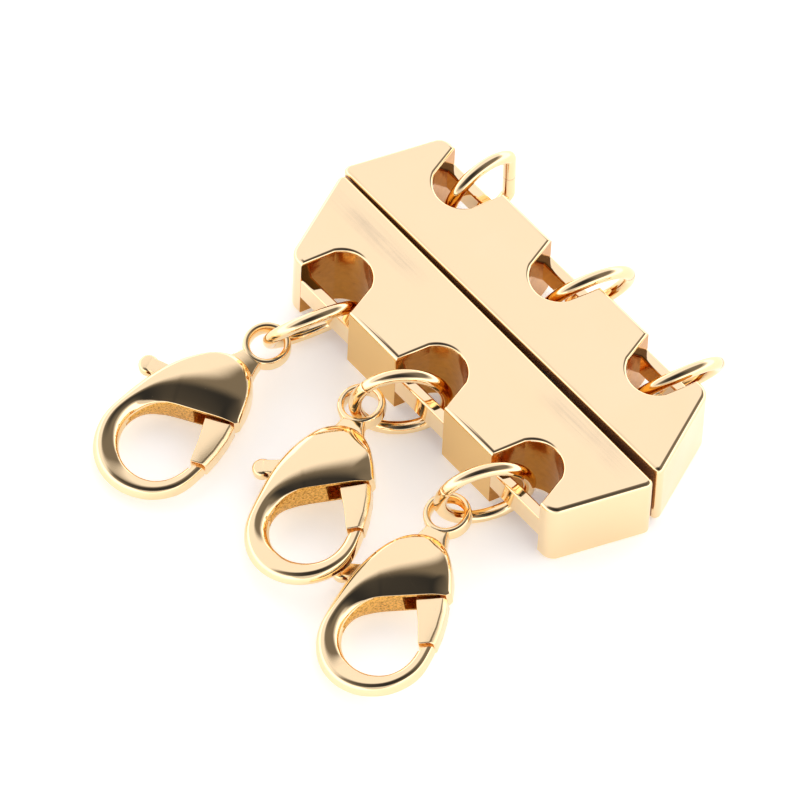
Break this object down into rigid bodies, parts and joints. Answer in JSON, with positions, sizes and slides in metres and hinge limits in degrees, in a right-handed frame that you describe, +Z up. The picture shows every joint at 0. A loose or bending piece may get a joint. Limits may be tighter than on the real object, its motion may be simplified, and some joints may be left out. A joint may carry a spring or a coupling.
{
  "type": "three-strand magnetic layering clasp",
  "caption": "Two polished bars held together by magnets, with jump rings in notches and lobster claws on the rings of one bar, for wearing layered necklaces.",
  "frame": {"origin": "on the surface the clasp lies on, straight below the middle of the seam between the two halves", "axes": "+X along the seam, towards the end where the gap is wider; +Y across the seam, from the half with the claws towards the half with the bare rings; +Z up from the surface"},
  "size_m": [0.0279, 0.0323, 0.0062],
  "materials": {
    "gold": "polished",
    "magnet": "satin"
  },
  "bodies": {
    "near_half": {"near_bar": "gold", "near_magnet_left": "magnet", "near_magnet_right": "magnet", "near_ring_1": "gold", "near_ring_2": "gold", "near_ring_3": "gold", "claw_body_1": "gold", "claw_body_2": "gold", "claw_body_3": "gold", "claw_rivet_1": "gold", "claw_rivet_2": "gold", "claw_rivet_3": "gold"},
    "far_half": {"far_bar": "gold", "far_magnet_left": "magnet", "far_magnet_right": "magnet", "far_ring_1": "gold", "far_ring_2": "gold", "far_ring_3": "gold"},
    "lever_1": {"claw_lever_1": "gold"},
    "lever_2": {"claw_lever_2": "gold"},
    "lever_3": {"claw_lever_3": "gold"}
  },
  "joints": [
    {"name": "halves_apart", "type": "slide", "parent": "near_half", "child": "far_half", "axis": [-0.014, 0.9999, 0], "range_m": [0, 0.01]},
    {"name": "lever_1_hinge", "type": "hinge", "parent": "near_half", "child": "lever_1", "pos_m": [-0.00844, -0.01434, 0.00168], "axis": [-0.0047, 0.087, -0.9962], "range_deg": [0, 24], "stiffness_Nm_per_rad": 0.002, "springref_deg": -11.46},
    {"name": "lever_2_hinge", "type": "hinge", "parent": "near_half", "child": "lever_2", "pos_m": [0.00006, -0.01208, 0.00225], "axis": [0.1437, 0.0813, -0.9863], "range_deg": [0, 24], "stiffness_Nm_per_rad": 0.002, "springref_deg": -11.46},
    {"name": "lever_3_hinge", "type": "hinge", "parent": "near_half", "child": "lever_3", "pos_m": [0.0086, -0.01337, 0.00202], "axis": [0.1014, 0.1197, -0.9876], "range_deg": [0, 24], "stiffness_Nm_per_rad": 0.002, "springref_deg": -11.46}
  ]
}
